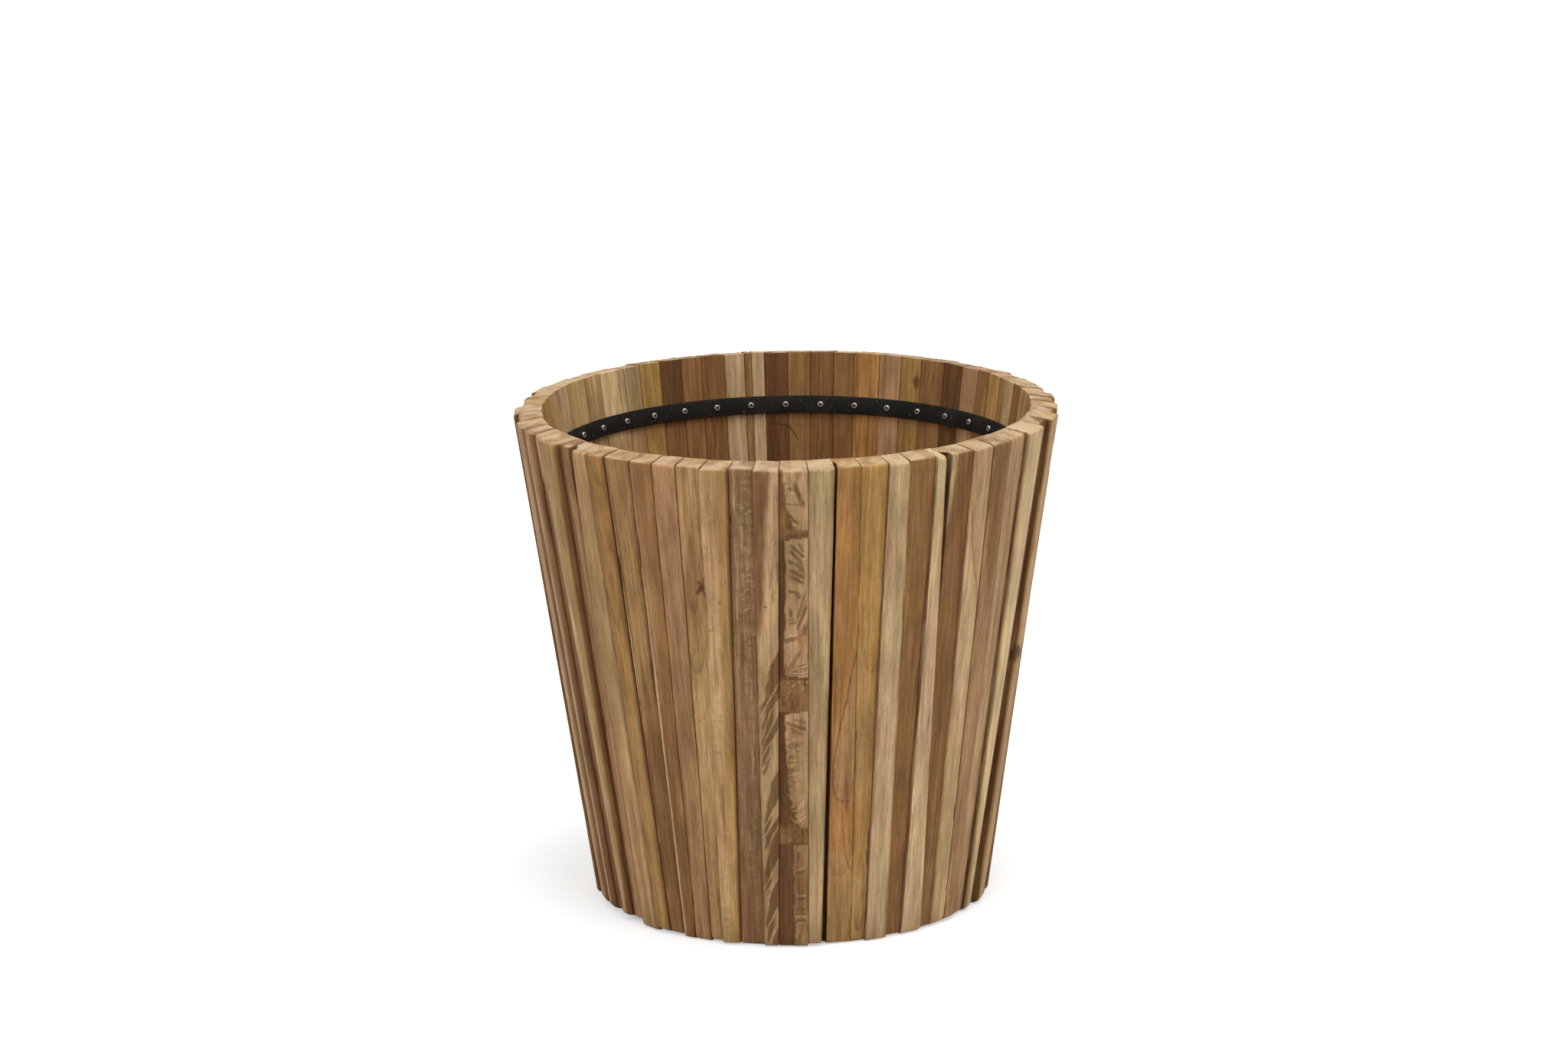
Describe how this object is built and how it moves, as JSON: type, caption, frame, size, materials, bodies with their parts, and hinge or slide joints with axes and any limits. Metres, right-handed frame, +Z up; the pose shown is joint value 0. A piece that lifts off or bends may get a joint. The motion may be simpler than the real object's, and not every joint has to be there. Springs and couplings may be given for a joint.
{
  "type": "barrel planter",
  "caption": "Tapered round planter of upright wooden staves in mixed widths and tones, held together inside by screwed steel hoops, with a slatted draining base.",
  "frame": {"origin": "on the floor, at the centre of the foot", "axes": "+Z up, out of the mouth; -Y towards the pictured front; +X to the viewer's right"},
  "size_m": [0.6036, 0.6028, 0.56],
  "materials": {
    "teak": "bare, sanded inside, partly rough-sawn outside",
    "base_wood": "bare, planed",
    "black_steel": "satin black paint",
    "screw_steel": "zinc plated"
  },
  "bodies": {
    "root": {"staves_01": "teak", "staves_02": "teak", "staves_03": "teak", "staves_04": "teak", "staves_05": "teak", "staves_06": "teak", "staves_07": "teak", "staves_08": "teak", "staves_09": "teak", "staves_10": "teak", "staves_11": "teak", "staves_12": "teak", "staves_13": "teak", "staves_14": "teak", "staves_15": "teak", "staves_16": "teak", "staves_17": "teak", "staves_18": "teak", "staves_19": "teak", "staves_20": "teak", "staves_21": "teak", "staves_22": "teak", "staves_23": "teak", "staves_24": "teak", "staves_25": "teak", "staves_26": "teak", "staves_27": "teak", "staves_28": "teak", "staves_29": "teak", "staves_30": "teak", "staves_31": "teak", "staves_32": "teak", "upper_hoop": "black_steel", "lower_hoop": "black_steel", "upper_hoop_screws": "screw_steel", "lower_hoop_screws": "screw_steel", "base_board_1": "base_wood", "base_board_2": "base_wood", "base_board_3": "base_wood", "base_board_4": "base_wood", "base_board_5": "base_wood", "base_batten_front": "base_wood", "base_batten_back": "base_wood", "base_screws": "screw_steel"}
  },
  "joints": []
}
